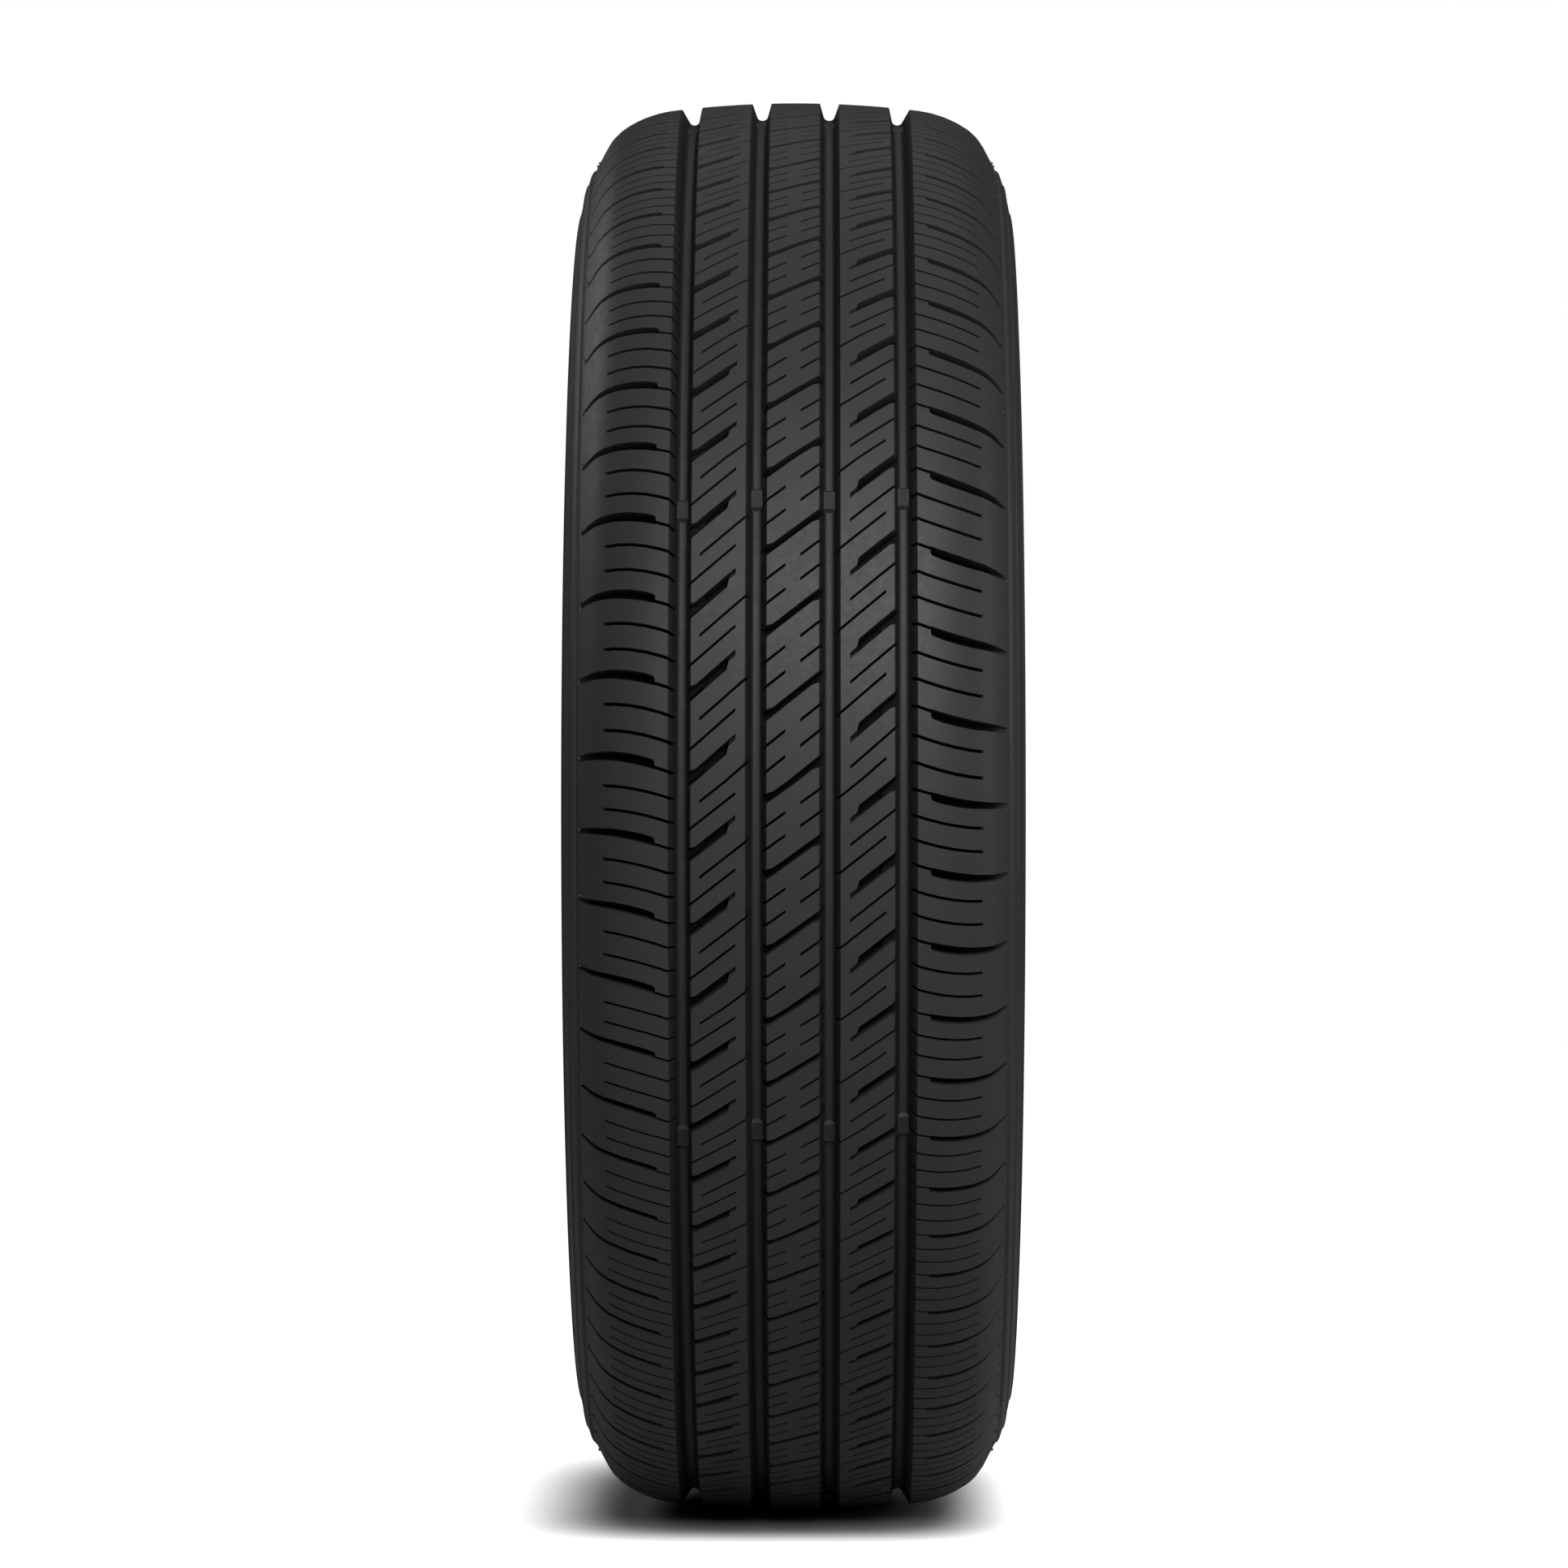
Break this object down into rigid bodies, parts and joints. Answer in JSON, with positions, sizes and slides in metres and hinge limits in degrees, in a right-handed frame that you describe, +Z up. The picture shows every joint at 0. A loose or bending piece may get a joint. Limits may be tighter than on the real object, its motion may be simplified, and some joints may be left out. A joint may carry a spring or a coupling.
{
  "type": "car tyre",
  "caption": "Passenger car tyre with straight tread grooves, slanted cross slots and smooth sidewalls, seated by its beads on a drop-centre rim.",
  "frame": {"origin": "wheel centre: on the axle line, midway between the two beads", "axes": "+Y along the axle, +Z up, +X towards the side of the tread that is seen first"},
  "size_m": [0.673, 0.205, 0.673],
  "materials": {
    "tyre_rubber": "matte black vulcanised rubber, new and clean"
  },
  "bodies": {
    "root": {"tyre": "tyre_rubber"}
  },
  "joints": []
}
